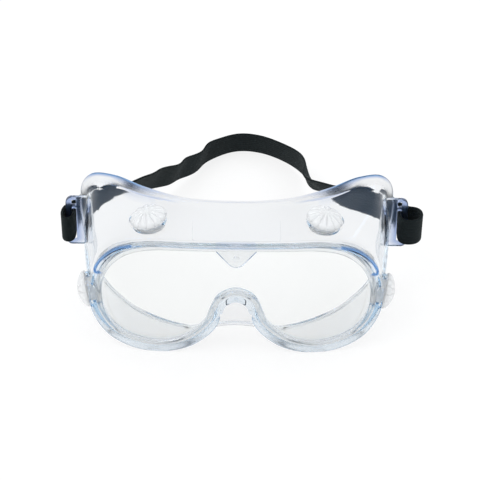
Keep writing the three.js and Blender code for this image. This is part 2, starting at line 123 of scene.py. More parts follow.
VENT_HOLE_R, VENT_BOSS_R, VENT_BOSS_THICK, VENT_BOSS_PROUD = 6.0, 8.8, 3.8, 0.7
VENT_BOSS_EDGE, VENT_DRILL = 0.4, 8  # edge softening, and how far the bore's cutter reaches
VENT_SPOT_INNER_R, VENT_SPOT_OUTER_R = 7.9, 10  # spot faces cut the wall back to the boss's ends
VENT_SPOT_INNER_DEPTH = 5
AIR_HOLES = dict(count=6, radius=1, ring=4, reach=10, sides=20)
PETALS = 12
VENTS = {  # where each stands on the wall, and its axis outwards
    "top_left": ((-44, 22.8, 69.2), (-0.2, 0, 1)),
    "top_right": ((44, 22.8, 69.2), (0.2, 0, 1)),
    "side_left": ((-75.5, 18.5, 28), (-1, -0.1, -0.17)),
    "side_right": ((75.5, 18.5, 28), (1, -0.1, -0.17)),
}

LUG = dict(inner=76, outer=89.3, foot=34.6, top=61.2, corner=3.2)
LUG_SLOT = dict(inner=83.8, outer=86.3, foot=36.9, top=54.8, corner=0.9)
LUG_WINDOW = dict(inner=83.8, outer=86.3, foot=56.6, top=59.6, corner=0.6)
LUG_Y, LUG_THICK, LUG_EDGE, LUG_LEAN = 47.6, 3.2, 0.55, math.radians(14)

STRAP_WIDTH, STRAP_THICK, STRAP_LOOP_Z = 16.0, 1.35, 38.0
STRAP_STEP, STRAP_EASING = 0.9, 6  # length between two sections, and rounds of smoothing
STRAP_RIBS, STRAP_RIB_DEPTH, STRAP_EDGE = 9, 0.13, 0.5
RUN_SECTIONS, RUN_TRIM = 161, 6  # of the free run, and how many of them each sewn end replaces
TAIL_SECTIONS, TAIL_GAP = (2, 15, 3), 0.1  # the sections that a tail lies on, from its own end

# Middle line of the free strap: x, y, z and the lean of the band's width in degrees.
STRAP_PATH = [
    (-83.1, 66, 41, 0), (-82.2, 72, 39.4, -2), (-76, 82, 36.4, -24), (-66, 95.5, 32, -36),
    (-55.5, 111.5, 26, -32), (-46.5, 124.5, 20, -22), (-37.5, 137.5, 14.5, -18),
    (-28.5, 150, 10.5, -14), (-19.5, 164, 8.4, -12), (-9, 174.6, 8, -14.5),
    (2, 178.8, 8, -15.5), (15, 176.3, 8, -15.5), (28, 167.2, 8.4, -14), (37.2, 154, 10.5, -10),
    (40.6, 137.5, 14.2, -12), (43.6, 123, 18.8, -44), (52.5, 105.5, 24.8, -22),
    (65, 90.5, 31.5, -10), (77.5, 78, 37, -4), (82.2, 72, 39.4, -2), (83.1, 66, 41, 0),
]
CREASES = [(-49.0, 0.35), (-34.0, 0.9), (-20.5, 1.0)]  # where the slack buckles: x, and how much
CREASE_LENGTH, CREASE_DEPTH, CREASE_LEAN = 6.0, 0.95, 0.03

# Middle line of each sewn end loop in plan: in along the slot, round the lug's outer bar and
# back to the sewn tail. The left loop is pulled tight and the right one hangs slack.
LOOP_TIGHT = [
    (85.05, 56), (85.05, 49), (85.6, 45.5), (87.8, 43.8), (90.4, 45.1), (91.2, 49.3), (90.6, 54.3),
    (88.6, 59.3), (87.1, 63),
]
LOOP_SLACK = [
    (85.05, 56), (85.05, 48.5), (85.9, 45.2), (89.2, 43.9), (93.9, 44.8), (96.5, 48.2),
    (96.4, 52.6), (93.9, 56.8), (89.2, 60), (87.1, 63.5),
]
LOOP_DROP_FROM, LOOP_DROP_SLOPE = 52.0, 0.34  # the loop's tail falls away behind the lug

# The box stitch at each end: where its first thread begins, in from the tail, and a thread's
# length, pitch and radius. Two lines of threads run along the band and two run across it.
STITCH_FROM, STITCH, STITCH_PITCH, STITCH_R = 1.5, 0.85, 1.2, 0.17
STITCH_ALONG = dict(count=8, across=(-5.6, 5.6))
STITCH_ACROSS = dict(count=9, start=-5.2, along=(0.0, 9.4))
STITCH_LIFT, STITCH_ARCH = 0.05, 0.12

spin = next(j for j in frame["joints"] if j["name"] == "cap_spin_top_right")
SHIFT = np.array(spin["pos_m"]) * 1000 - np.array(VENTS["top_right"][0])


def row(point):
    """A point of the goggles' own frame, in mm, as a point of the row frame, in metres."""
    return (np.asarray(point, float) + SHIFT) / 1000


# ---------------------------------------------------------------- curves


def spline(points, t, closed=False, centripetal=True):
    """The Catmull-Rom curve of the CAD source through points, at the places t from 0 to 1."""
    p, t = np.asarray(points, float), np.asarray(t, float)
    n = len(p)
    if closed:
        u = (t % 1.0) * n
        i = np.floor(u).astype(int) % n
        w = u - np.floor(u)
        p0, p1, p2, p3 = p[(i - 1) % n], p[i], p[(i + 1) % n], p[(i + 2) % n]
    else:
        u = np.clip(t, 0, 1) * (n - 1)
        i = np.minimum(np.floor(u).astype(int), n - 2)
        w = u - i
        q = np.vstack([2 * p[0] - p[1], p, 2 * p[-1] - p[-2]])
        p0, p1, p2, p3 = q[i], q[i + 1], q[i + 2], q[i + 3]
    w = w[:, None]
    if centripetal:
        gap = [np.maximum(np.linalg.norm(b - a, axis=1, keepdims=True), 1e-6) ** 0.5
               for a, b in ((p0, p1), (p1, p2), (p2, p3))]
        t1 = ((p1 - p0) / gap[0] - (p2 - p0) / (gap[0] + gap[1]) + (p2 - p1) / gap[1]) * gap[1]
        t2 = ((p2 - p1) / gap[1] - (p3 - p1) / (gap[1] + gap[2]) + (p3 - p2) / gap[2]) * gap[1]
    else:
        t1, t2 = (p2 - p0) / 2, (p3 - p1) / 2
    c2 = -3 * p1 + 3 * p2 - 2 * t1 - t2
    c3 = 2 * p1 - 2 * p2 + t1 + t2
    return p1 + t1 * w + c2 * w**2 + c3 * w**3


def mirrored(points, flip):
    """The whole closed loop of a right half whose first and last points are on the mirror plane."""
    right = [tuple(p) for p in points]
    left = [tuple(-v if k in flip else v for k, v in enumerate(p)) for p in right[-2:0:-1]]
    return np.array(right + left, float)


FRONT = mirrored([(r[0], 0, r[1]) for r in OUTLINE], {0})
REAR = mirrored([r[2:5] for r in OUTLINE], {0})
TRIMS = mirrored([r[5:] for r in OUTLINE], set())  # flange width, bulge, reach


def unit(v):
    return v / np.linalg.norm(v, axis=-1, keepdims=True)


def outward(curve, t):
    """The directions out of a closed curve at the places t, square to it in the XZ plane."""
    step = 1e-4
    d = spline(curve, t + step, True) - spline(curve, t - step, True)
    return unit(np.stack([-d[:, 2], np.zeros(len(t)), d[:, 0]], 1))


def bend(x):
    """How far back the bent lens has gone at x."""
    return x * x / (2 * LENS_BEND)


def smooth(x, a, b):
    """0 up to a and 1 from b on, with a soft step between them."""
    s = np.clip((x - a) / (b - a), 0, 1)
    return s * s * (3 - 2 * s)


class Rim:
    """The front outline at the places t from 0 to 1, clockwise from the top centre. place is how
    far each is from the top centre, in outline rows, down its own half."""

    def __init__(self, t):
        self.t = np.asarray(t, float)
        self.front = spline(FRONT, self.t, True)
        self.out = outward(FRONT, self.t)
        self.reach = spline(TRIMS, self.t, True, centripetal=False)[:, 2]
        place = (self.t % 1.0) * ROWS
        self.place = np.minimum(place, ROWS - place)

    def at(self, inward, back):
        """Points inward from the outline and back from the front of the bent lens."""
        inward = np.broadcast_to(np.asarray(inward, float), (len(self.t),))
        p = self.front - self.out * inward[:, None]
        p[:, 1] = bend(p[:, 0]) + back
        return p

    def within_reach(self, inward, back):
        """The same, but inward only as far as the rim's reach lets them."""
        return self.at(inward * self.reach, back)


# ---------------------------------------------------------------- meshes


def make_mesh(name, verts, faces, uv=None):
    """An object whose mesh is in mm until to_row moves it."""
    mesh = bpy.data.meshes.new(name)
    mesh.from_pydata([tuple(v) for v in verts], [], [tuple(f) for f in faces])
    if uv is not None:
        layer = mesh.uv_layers.new(name="UVMap")
        index = np.zeros(len(mesh.loops), np.int32)
        mesh.loops.foreach_get("vertex_index", index)
        layer.data.foreach_set("uv", np.asarray(uv, np.float32)[index].ravel())
    obj = bpy.data.objects.new(name, mesh)
    bpy.context.scene.collection.objects.link(obj)
    return obj


def skin(rings, closed=True, caps=False):
    """Vertices and quads over rings of equal length. Each ring is closed."""
    count, size = len(rings), len(rings[0])
    verts = np.concatenate(rings)
    faces = []
    for i in range(count if closed else count - 1):
        a, b = i * size, ((i + 1) % count) * size
        for j in range(size):
            k = (j + 1) % size
            faces.append((a + j, b + j, b + k, a + k))
    if caps:
        faces.append(tuple(range(size)))
        faces.append(tuple(range((count - 1) * size, count * size))[::-1])
    return verts, faces


def outwards(obj):
    """Turns every face of a closed mesh to face out."""
    bm = bmesh.new()
    bm.from_mesh(obj.data)
    bmesh.ops.recalc_face_normals(bm, faces=bm.faces)
    bm.to_mesh(obj.data)
    bm.free()
    return obj


def to_row(obj, crease=35):
    """Moves a finished mesh from mm to its place in the row frame, and shades it smooth."""
    obj.data.transform(Matrix.Translation(Vector(SHIFT / 1000)) @ Matrix.Scale(0.001, 4))
    for poly in obj.data.polygons:
        poly.use_smooth = True
    obj.data.set_sharp_from_angle(angle=math.radians(crease))
    obj.data.update()
    return obj


def boolean(target, other, operation):
    """target joined with or cut by other, which is used up."""
    modifier = target.modifiers.new("join", "BOOLEAN")
    modifier.operation, modifier.solver, modifier.object = operation, "MANIFOLD", other
    graph = bpy.context.evaluated_depsgraph_get()
    made = bpy.data.meshes.new_from_object(target.evaluated_get(graph))
    target.modifiers.clear()
    used = target.data
    target.data = made
    bpy.data.meshes.remove(used)
    bpy.data.objects.remove(other)
    return target


def rounded(corners, radii, steps=3, most=0.45):
    """A ring of section points with each corner turned into a short arc. corners are (n, 3) arrays.
    most is the largest share of a side that an arc may take."""
    out = []
    for i, p in enumerate(corners):
        if np.all(radii[i] == 0):
            out.append(p)
            continue
        a, b = corners[i - 1] - p, corners[(i + 1) % len(corners)] - p
        la, lb = (np.linalg.norm(v, axis=1, keepdims=True) for v in (a, b))
        start = p + a / la * np.minimum(radii[i], most * la)
        end = p + b / lb * np.minimum(radii[i], most * lb)
        for k in range(steps + 1):
            u = k / steps
            out.append((1 - u) ** 2 * start + 2 * u * (1 - u) * p + u**2 * end)
    return np.stack(out, 1)


def tube(name, path, radius, sides=12):
    """A closed tube with domed ends along path, of one radius or one for each point."""
    path = np.asarray(path, float)
    radius = np.broadcast_to(np.asarray(radius, float), (len(path),))
    tangent = unit(np.gradient(path, axis=0))
    up = np.array([0.0, 1.0, 0.0]) if abs(tangent[0][1]) < 0.9 else np.array([1.0, 0, 0])
    rings = []
    angles = np.linspace(0, 2 * np.pi, sides, endpoint=False)
    ends = [(0.0, 0.2), (0.55, 0.75), (0.9, 0.97)]
    plan = [(0, -radius[0] * (1 - a), radius[0] * b) for a, b in ends]
    plan += [(i, 0.0, radius[i]) for i in range(len(path))]
    plan += [(len(path) - 1, radius[-1] * (1 - a), radius[-1] * b) for a, b in reversed(ends)]
    for i, along, r in plan:
        side = unit(np.cross(tangent[i], up))
        lift = np.cross(side, tangent[i])
        centre = path[i] + tangent[i] * along
        rings.append(centre + r * (np.cos(angles)[:, None] * side + np.sin(angles)[:, None] * lift))
    verts, faces = skin(rings, closed=False, caps=True)
    return outwards(make_mesh(name, verts, faces))


def outline_points(inner, outer, foot, top, corner, base, steps=6):
    """A rounded rectangle as a list of points, corner by corner, with foot measured from base."""
    points = []
    y0, y1 = foot - base, top - base
    for cx, cy, start in ((outer - corner, y0 + corner, -90), (outer - corner, y1 - corner, 0),
                          (inner + corner, y1 - corner, 90), (inner + corner, y0 + corner, 180)):
        for k in range(steps + 1):
            a = math.radians(start + 90 * k / steps)
            points.append((cx + corner * math.cos(a), cy + corner * math.sin(a)))
    return points


def plate(name, outlines, thick, soften):
    """A flat plate with holes: the first outline less the others, its edges softened."""
    curve = bpy.data.curves.new(name, "CURVE")
    curve.dimensions, curve.fill_mode = "2D", "BOTH"
    curve.extrude, curve.bevel_depth, curve.bevel_resolution = thick / 2 - soften, soften, 3
    curve.offset = -soften
    for points in outlines:
        line = curve.splines.new("POLY")
        line.points.add(len(points) - 1)
        for point, (x, y) in zip(line.points, points):
            point.co = (x, y, 0, 1)
        line.use_cyclic_u = True
    drawn = bpy.data.objects.new(name, curve)
    bpy.context.scene.collection.objects.link(drawn)
    graph = bpy.context.evaluated_depsgraph_get()
    mesh = bpy.data.meshes.new_from_object(drawn.evaluated_get(graph))
    bpy.data.objects.remove(drawn)
    bpy.data.curves.remove(curve)
    bm = bmesh.new()
    bm.from_mesh(mesh)
    bmesh.ops.remove_doubles(bm, verts=bm.verts, dist=1e-4)
    bmesh.ops.triangulate(bm, faces=[f for f in bm.faces if len(f.verts) > 4])
    bmesh.ops.recalc_face_normals(bm, faces=bm.faces)
    bm.to_mesh(mesh)
    bm.free()
    obj = bpy.data.objects.new(name, mesh)
    bpy.context.scene.collection.objects.link(obj)
    return obj


def lathe(name, profile, sides, ripple=None):
    """A closed solid turned round Y from a closed profile of (radius, height) points. ripple gives
    the radius scale and the height drop of every profile point at an angle."""
    angles = np.linspace(0, 2 * np.pi, sides, endpoint=False)
    profile = np.asarray(profile, float)
    rings = []
    for a in angles:
        scale, drop = ripple(profile, a) if ripple else (1.0, 0.0)
        r = profile[:, 0] * scale
        rings.append(np.stack([r * math.cos(a), profile[:, 1] - drop, r * math.sin(a)], 1))
    verts, faces = skin(rings)
    obj = make_mesh(name, verts, faces)
    bm = bmesh.new()
    bm.from_mesh(obj.data)
    bmesh.ops.remove_doubles(bm, verts=bm.verts, dist=1e-5)
    bmesh.ops.dissolve_degenerate(bm, edges=bm.edges, dist=1e-5)
    bmesh.ops.recalc_face_normals(bm, faces=bm.faces)
    bm.to_mesh(obj.data)
    bm.free()
    return obj


def soften(profile, radius, steps=4):
    """A closed 2-D profile with rounded corners. Points on the axis stay sharp."""
    p = [np.array([[x, y, 0.0]]) for x, y in profile]
    radii = [0 if q[0, 0] < 1e-6 else radius for q in p]
    return rounded(p, radii, steps)[0][:, :2]


def on_vent(obj, vent):
    """Stands a piece turned round Y on its vent."""
    at, axis = VENTS[vent]
    turn = Vector((0, 1, 0)).rotation_difference(Vector(axis).normalized())
    obj.data.transform(Matrix.Translation(Vector(at)) @ turn.to_matrix().to_4x4())
    return obj


# ---------------------------------------------------------------- moulded frame


def moulding():
    """The swept body: front rim, lens groove, wall and face flange from one run of sections."""
    t = np.arange(STATIONS) / STATIONS
    rim = Rim(t)
    bead = np.zeros(STATIONS)
    for a, b in BEAD_RUNS:
        run = smooth(rim.place, a, a + BEAD_FADE) * (1 - smooth(rim.place, b - BEAD_FADE, b))
        bead = np.maximum(bead, BEAD * run)
    rear, rear_out = spline(REAR, t, True), outward(REAR, t)
    back = np.array([0.0, 1.0, 0.0])
    trims = np.maximum(spline(TRIMS, t, True, centripetal=False), 0)
    flange, bulge = trims[:, :1], trims[:, 1:2]
    along = rear_out * math.cos(FLANGE_SWEEP) + back * math.sin(FLANGE_SWEEP)
    through = back * math.cos(FLANGE_SWEEP) - rear_out * math.sin(FLANGE_SWEEP)
    crease_out = rear - along * flange
    crease_in = crease_out - rear_out * WALL + back * CREASE_RAKE
    wall_out, wall_in = rim.at(0, WALL_START), rim.at(WALL, WALL_START)
    swell = unit(rim.out + rear_out) * bulge
    groove = RIM_LIP_THICK + LENS_THICK + 2 * LENS_GAP

    def between(a, b, s):
        return a + (b - a) * s + swell * (4 * s * (1 - s))

    places = [0.125 * k for k in range(1, 7)]
    sharper = smooth(rim.place, 1.0, 1.8) * (1 - smooth(rim.place, 2.6, 3.4))
    fold = (4.0 - 3.2 * sharper)[:, None]  # the crease is crisp where the brow rises to the ears
    corners = [  # each with the radius that rounds it
        (rim.at(RIM_BEVEL, 0.0), 0.45), (rim.within_reach(RIM_LIP, LIP_RAKE), 1.0),
        (rim.within_reach(RIM_LIP, RIM_LIP_THICK), 0.3),
        (rim.within_reach(GROOVE_ROOT, RIM_LIP_THICK), 0.2),
        (rim.within_reach(GROOVE_ROOT, groove), 0.2), (rim.within_reach(LEDGE, groove), 0.35),
        (rim.within_reach(LEDGE, groove + LEDGE_THICK), 0.9), (wall_in, 2.5),
        *[(between(wall_in, crease_in, s), 0) for s in places],
        (crease_in, fold), (rear + through * WALL, 0.85), (rear, 0.95), (crease_out, fold),
        *[(between(wall_out, crease_out, s), 0) for s in reversed(places)],
        (wall_out, 2.5), (rim.at(-bead, BEAD_DEPTH), 0.6), (rim.at(-bead, 0.2 - 0.6 * bead), 0.7),
    ]
    rings = rounded([c[0] for c in corners], [c[1] for c in corners], steps=4, most=0.6)
    rings[:, :, 2] = np.maximum(rings[:, :, 2], 0)
    verts, faces = skin(list(rings))
    return outwards(make_mesh("goggle_frame", verts, faces))


def lug(side):
    """The strap lug of one side, 1 or -1, with its slot and the small window above it."""
    base = LUG["foot"]
    outlines = [outline_points(**d, base=base) for d in (LUG, LUG_SLOT, LUG_WINDOW)]
    obj = plate("lug", outlines, LUG_THICK, LUG_EDGE)
    turn = Matrix.Rotation(math.pi / 2 - LUG_LEAN, 4, "X")
    obj.data.transform(Matrix.Translation((0, LUG_Y, base)) @ turn)
    if side < 0:
        obj.data.transform(Matrix.Scale(-1, 4, (1, 0, 0)))
        obj.data.flip_normals()
    return obj


def brow_tab():
    """The tab over the middle of the lens, below the brow, with its tip rounded."""
    top, shoulder, pull, tip = (np.array(p) for p in TAB.values())
    points = [tuple(top)]
    points += [tuple((1 - u) ** 2 * shoulder + 2 * u * (1 - u) * pull + u * u * tip)
               for u in np.linspace(0, 1, 9)]
    points += [(-x, z) for x, z in reversed(points[:-1])]
    obj = plate("tab", [points], TAB_THICK, TAB_EDGE)
    obj.data.transform(Matrix.Translation((0, TAB_Y, 0)) @ Matrix.Rotation(math.pi / 2, 4, "X"))
    return obj


def nub():
    """The small moulded nub that stands on the tab."""
    obj = lathe("nub", soften(NUB, NUB_EDGE), 32)
    obj.data.transform(Matrix.Translation(NUB_AT) @ Matrix.Rotation(math.pi, 4, "X"))
    return obj


def crown_block(width, front, back, top, depth, corner, edge):
    points = outline_points(-width / 2, width / 2, front, back, corner, 0)
    obj = plate("block", [points], depth, edge)
    obj.data.transform(Matrix.Translation((0, 0, top - depth / 2)))
    return obj


def disc(vent, radius, low, high, edge=0.0):
    """A solid disc on a vent's axis, from low to high above the wall's outer skin."""
    profile = [(0, low), (0, high), (radius, high), (radius, low)]
    return on_vent(lathe("disc", soften(profile, edge) if edge else profile, 64), vent)


def hook_path(side):
    """The middle of the brow bead round its corner, with the curl at its end."""
    t = np.array([p / ROWS if side > 0 else -p / ROWS for p, _ in HOOK_PLACES]) % 1.0
    path = Rim(t).at([inward for _, inward in HOOK_PLACES], HOOK_BACK)
    return spline(path, np.linspace(0, 1, HOOK_POINTS), centripetal=False)


def hook(side):
    """The bead's curl round one brow corner."""
    radius = np.minimum(np.linspace(HOOK_R_FIRST, HOOK_R_LAST, HOOK_POINTS), HOOK_R_MOST)
    return tube("hook", hook_path(side), radius)


def top_rib(x, length):
    """A fine moulded rib on the top wall, behind the brow bead."""
    brow = spline(FRONT, np.linspace(-0.25, 0.25, 801), True)
    z = np.interp(x, brow[:, 0], brow[:, 2]) - TOP_RIB_SINK
    return tube("rib", [(x, TOP_RIB_Y + length * s, z) for s in np.linspace(0, 1, 8)], TOP_RIB_R)


def goggle_frame():
    """The whole moulding: the swept body with everything that is moulded onto it or cut out."""
    body = moulding()
    parts = [brow_tab(), nub(), lug(1), lug(-1), hook(1), hook(-1)]
    parts += [crown_block(**BROW_PAD), crown_block(**CROWN_PANEL)]
    parts += [top_rib(x, length) for x, length in TOP_RIBS]
    seat, inside = VENT_BOSS_PROUD, VENT_BOSS_PROUD - VENT_BOSS_THICK
    parts += [disc(v, VENT_BOSS_R, inside, seat, VENT_BOSS_EDGE) for v in VENTS]
    for part in parts:
        boolean(body, part, "UNION")
    for v in VENTS:
        for cut in (disc(v, VENT_HOLE_R, -VENT_DRILL, VENT_DRILL),
                    disc(v, VENT_SPOT_INNER_R, inside - VENT_SPOT_INNER_DEPTH, inside),
                    disc(v, VENT_SPOT_OUTER_R, seat, seat + VENT_DRILL)):
            boolean(body, cut, "DIFFERENCE")
    return marked(to_row(body))


def nearest(points, line):
    """How far each point is from a line of points, and which point of the line is closest."""
    tree = KDTree(len(line))
    for k, p in enumerate(line):
        tree.insert(p, k)
    tree.balance()
    found = [tree.find(p) for p in points]
    return np.array([f[2] for f in found]), np.array([f[1] for f in found])


def marked(body):
    """Adds two vertex marks, from 0 to 1. The first is where a deeper tint is painted, standing in
    for light piped along the moulding, and satin is where the mould was left unpolished."""
    points = np.array([v.co for v in body.data.vertices]) * 1000 - SHIFT
    x, y, z = np.abs(points[:, 0]), points[:, 1], points[:, 2]
    back = y - bend(x)
    rim = Rim(np.arange(0, 8 * STATIONS) / (8 * STATIONS))
    tip = spline(REAR, rim.t, True)
    flange = spline(TRIMS, rim.t, True, centripetal=False)[:, 0]
    lean = outward(REAR, rim.t) * math.cos(FLANGE_SWEEP) + [0, math.sin(FLANGE_SWEEP), 0]
    to_bead, at_bead = nearest(points, rim.at(-0.2, 0.9))
    to_tip, at_tip = nearest(points, tip)
    to_crease, at_crease = nearest(points, tip - lean * flange[:, None])
    to_front, _ = nearest(points * [1, 0, 1], rim.front * [1, 0, 1])
    to_hook = np.minimum(*[nearest(points, hook_path(side))[0] for side in (1, -1)])
    lugs = (x > 82.6) & (y > 44) & (z > 33)
    pad = (x < 9.7) & (y < 4.8) & (z > 69.5)
    groove = (to_front > 1.2) & (to_front < 6.6) & (back > 1.8) & (back < 6.8)
    foot = (1 - smooth(z, 8, 16)) * (back < 12)

    brow = 0.12 + 0.14 * (1 - smooth(rim.place, 1.0, 2.2)) + 0.88 * smooth(rim.place, 2.3, 3.3)
    brow = np.where(rim.place > 4.66, 0.08, brow)
    ear = 0.12 + 0.85 * smooth(rim.place, 1.0, 2.4) * (1 - smooth(rim.place, 3.9, 5.0))
    fold = 0.55 * smooth(rim.place, 0.9, 1.5) * (1 - smooth(rim.place, 2.4, 3.0))
    # Painted deeper blue tint along the bead, ear tips, flange crease, hooks, lugs and brow pad,
    # standing in for light piped along the moulding.
    painted_piped_tint = np.maximum.reduce([
        brow[at_bead] * (1 - smooth(to_bead, 0.6, 1.5)),
        ear[at_tip] * (1 - smooth(to_tip, 0.7, 1.7)),
        fold[at_crease] * (1 - smooth(to_crease, 0.4, 1.0)),
        0.95 * (1 - smooth(to_hook, 0.65, 1.0)),
        np.where(lugs, 0.6, 0.0),
        np.where(pad, 0.3, 0.0),
    ])

    on_flange = 1 - smooth(to_tip, 0.8 * flange[at_tip], 1.15 * flange[at_tip])
    satin = np.maximum.reduce([
        on_flange * (0.3 + 0.7 * smooth(to_tip, 0.6, 2.0)),
        0.4 * (1 - smooth(to_bead, 1.0, 2.0)),
        0.6 * foot,
        np.where(groove, 0.6, 0.0),
        np.where(lugs & ~groove, 0.9, 0.0),
    ])
    for name, value in (("painted_piped_tint", painted_piped_tint), ("satin", satin)):
        mark = body.data.attributes.new(name, "FLOAT", "POINT")
        mark.data.foreach_set("value", value.astype(np.float32))
    return body


# ---------------------------------------------------------------- lens


def lens():
    """A bent sheet, cut to the outline of the groove less a small gap all round."""
    rim = Rim(np.arange(STATIONS) / STATIONS)
    near = rim.at(GROOVE_ROOT * rim.reach + LENS_GAP, 0)
    far = near.copy()
    near[:, 1], far[:, 1] = LENS_BLANK
    blank = outwards(make_mesh("blank", *skin([near, far], closed=False, caps=True)))
    face, rear = RIM_LIP_THICK + LENS_GAP, RIM_LIP_THICK + LENS_GAP + LENS_THICK
    foot, top = LENS_SLAB["foot"], LENS_SLAB["top"]
    section = [(face, foot), (rear, foot), (rear, top), (face, top)]
    rings = [np.array([(x, bend(x) + y, z) for y, z in section])
             for x in np.linspace(-LENS_SLAB["half"], LENS_SLAB["half"], LENS_SLAB["columns"])]
    sheet = outwards(make_mesh("lens_sheet", *skin(rings, closed=False, caps=True)))
    return to_row(boolean(sheet, blank, "INTERSECT"))


# ---------------------------------------------------------------- vents


def vent_base(vent):
    """A spool that snaps into its boss, with a ring of air holes round the cap's bore."""
    seat, inside = VENT_BOSS_PROUD, VENT_BOSS_PROUD - VENT_BOSS_THICK
    profile = soften([
        (2.3, inside - 1.5), (7.4, inside - 1.5), (7.4, inside - 0.3), (5.7, inside - 0.3),
        (5.7, seat + 0.3), (7.4, seat + 0.3), (7.4, seat + 1.3), (2.3, seat + 1.3),
    ], 0.2)
    obj = lathe("vent_seat_" + vent, profile, 64)
    r, reach, out = AIR_HOLES["radius"], AIR_HOLES["reach"], AIR_HOLES["ring"]
    for i in range(AIR_HOLES["count"]):
        a = 2 * math.pi * i / AIR_HOLES["count"]
        hole = lathe("hole", [(0, -reach), (0, reach), (r, reach), (r, -reach)], AIR_HOLES["sides"])
        hole.data.transform(Matrix.Translation((out * math.cos(a), 0, out * math.sin(a))))
        boolean(obj, hole, "DIFFERENCE")
    return to_row(on_vent(obj, vent))


def vent_cap(vent):
    """A hollow fluted dome with a barbed post that clips through the spool."""
    seat = VENT_BOSS_PROUD
    tip = seat - VENT_BOSS_THICK - 1.5
    inner = [
        (0, tip - 1.5), (2.1, tip - 1.5), (2.7, tip - 0.9), (2.7, tip - 0.4), (2, tip - 0.3),
        (2, seat + 3), (6.6, seat + 2.5), (8.3, seat + 1.5), (8.3, seat + 0.4),
    ]
    dome = spline([(9.4, seat + 0.4), (9.42, seat + 1.2), (9.1, seat + 2.1), (8.2, seat + 3.15),
                   (6, seat + 4.4), (3.4, seat + 5.3), (1.6, seat + 5.7)],
                  np.linspace(0, 1, 40))
    crown = [(1.2, seat + 5.8), (0.6, seat + 5.85), (0, seat + 5.85)]
    skirt = soften(inner + [(9.4, seat + 0.4)] + [tuple(p) for p in dome[3:]], 0.25, 3)
    profile = np.vstack([skirt, crown])

    def petals(points, angle):
        """Soft lobes with a crisp valley between them, on the outside of the dome only."""
        lobe = 1 - abs(math.cos(PETALS / 2 * angle)) ** 0.6
        r, z = points[:, 0], points[:, 1]
        skin_r = np.interp(z, [seat, seat + 3.2, seat + 5.6], [8.8, 7.0, 1.2])
        outside = (z > seat + 0.45) & (r > skin_r)
        depth = np.where(outside, lobe * smooth(r, 1.2, 4.5), 0.0)
        return 1 - 0.075 * depth, 0.75 * depth * (1 - smooth(r, 7.6, 9.3))

    obj = lathe("vent_dome_" + vent, profile, PETALS * 16, petals)
    return to_row(on_vent(obj, vent), crease=50)


# ---------------------------------------------------------------- strap


def free_run():
    """Centres, width directions and thickness directions along STRAP_PATH."""
    run = spline(STRAP_PATH, np.linspace(0, 1, RUN_SECTIONS), centripetal=False)
    centre, lean = run[:, :3], np.radians(run[:, 3])
    tangent = unit(np.gradient(centre, axis=0))
    side = unit(np.cross([0, 0, 1.0], tangent) * [1, 1, 0])
    flat = unit(np.cross(tangent, side))
    width = flat * np.cos(lean)[:, None] + side * np.sin(lean)[:, None]
    return centre, width, unit(np.cross(width, tangent))


def sewn_end(route, side, centre, width, thick):
    """One end, as centres and width directions: the tail that lies on the first sections of the
    free run, given from this end, then the loop round the lug's bar and in along the slot."""
    first, last, step = TAIL_SECTIONS
    on = slice(first, last, step)
    outer = 1 if side * thick[first][0] > 0 else -1
    tail = centre[on] + thick[on] * (STRAP_THICK + TAIL_GAP) * outer
    plan = np.array(route[::-1], float)
    drop = LOOP_DROP_SLOPE * np.maximum(0, plan[:, 1] - LOOP_DROP_FROM)
    loop = np.stack([side * plan[:, 0], plan[:, 1], STRAP_LOOP_Z + STRAP_WIDTH / 2 - drop], 1)
    upright = np.tile([0, 0, 1.0], (len(loop), 1))
    return np.vstack([tail[::-1], loop]), np.vstack([width[on][::-1], upright])


def strap_frames():
    """Centres, width directions, thickness directions and the length so far, at even steps from
    one sewn tail to the other."""
    run = free_run()
    left, left_width = sewn_end(LOOP_TIGHT, -1, *run)
    right, right_width = sewn_end(LOOP_SLACK, 1, *[part[::-1] for part in run])
    keep = slice(RUN_TRIM, -RUN_TRIM)
    points = np.vstack([left, run[0][keep], right[::-1]])
    widths = np.vstack([left_width, run[1][keep], right_width[::-1]])
    length = np.concatenate([[0], np.cumsum(np.linalg.norm(np.diff(points, axis=0), axis=1))])
    even = np.linspace(0, length[-1], int(length[-1] / STRAP_STEP))
    place = np.interp(even, length, np.arange(len(points))) / (len(points) - 1)
    centre = spline(points, place)
    width = unit(spline(widths, place))
    for _ in range(STRAP_EASING):
        for line in (centre, width):
            line[1:-1] = line[1:-1] * 0.5 + (line[:-2] + line[2:]) * 0.25
    tangent = unit(np.gradient(centre, axis=0))
    for x, share in CREASES:
        middle = even[np.argmin(np.abs(centre[: len(centre) // 2, 0] - x))]
        past = (even - middle) / CREASE_LENGTH
        wave = share * CREASE_DEPTH * past * np.exp(0.5 - 0.5 * past**2)
        thick = unit(np.cross(width, tangent))
        centre = centre + thick * wave[:, None]
        width = unit(width + thick * (CREASE_LEAN * wave)[:, None])
    width = unit(width - tangent * np.sum(width * tangent, axis=1, keepdims=True))
    return centre, width, unit(np.cross(width, tangent)), even


def strap():
    """The band: a ribbed section with rounded edges, swept from tail to tail."""
    centre, width, thick, along = strap_frames()
    half = STRAP_WIDTH / 2
    across = np.linspace(-1, 1, STRAP_RIBS * 6 + 1)
    rib = STRAP_RIB_DEPTH * np.abs(np.cos(np.pi * STRAP_RIBS / 2 * across)) - STRAP_RIB_DEPTH
    into_edge = (1 + (np.abs(across) - 1) * half / STRAP_EDGE).clip(0)
    taper = np.sqrt(np.clip(1 - into_edge**2, 0.05, 1))
    height = (STRAP_THICK / 2) * taper + rib * (taper > 0.9)
    ring_w = np.concatenate([across, across[::-1]]) * half
    ring_t = np.concatenate([height, -height[::-1]])
    rings = [c + w * ring_w[:, None] + n * ring_t[:, None] for c, w, n in zip(centre, width, thick)]
    verts, faces = skin(rings, closed=False, caps=True)
    u = np.tile(ring_w / 1000, len(rings))
    v = np.repeat(along / 1000, len(ring_w))
    obj = make_mesh("head_strap", verts, faces, uv=np.stack([u, v], 1))
    return to_row(outwards(obj), crease=60)


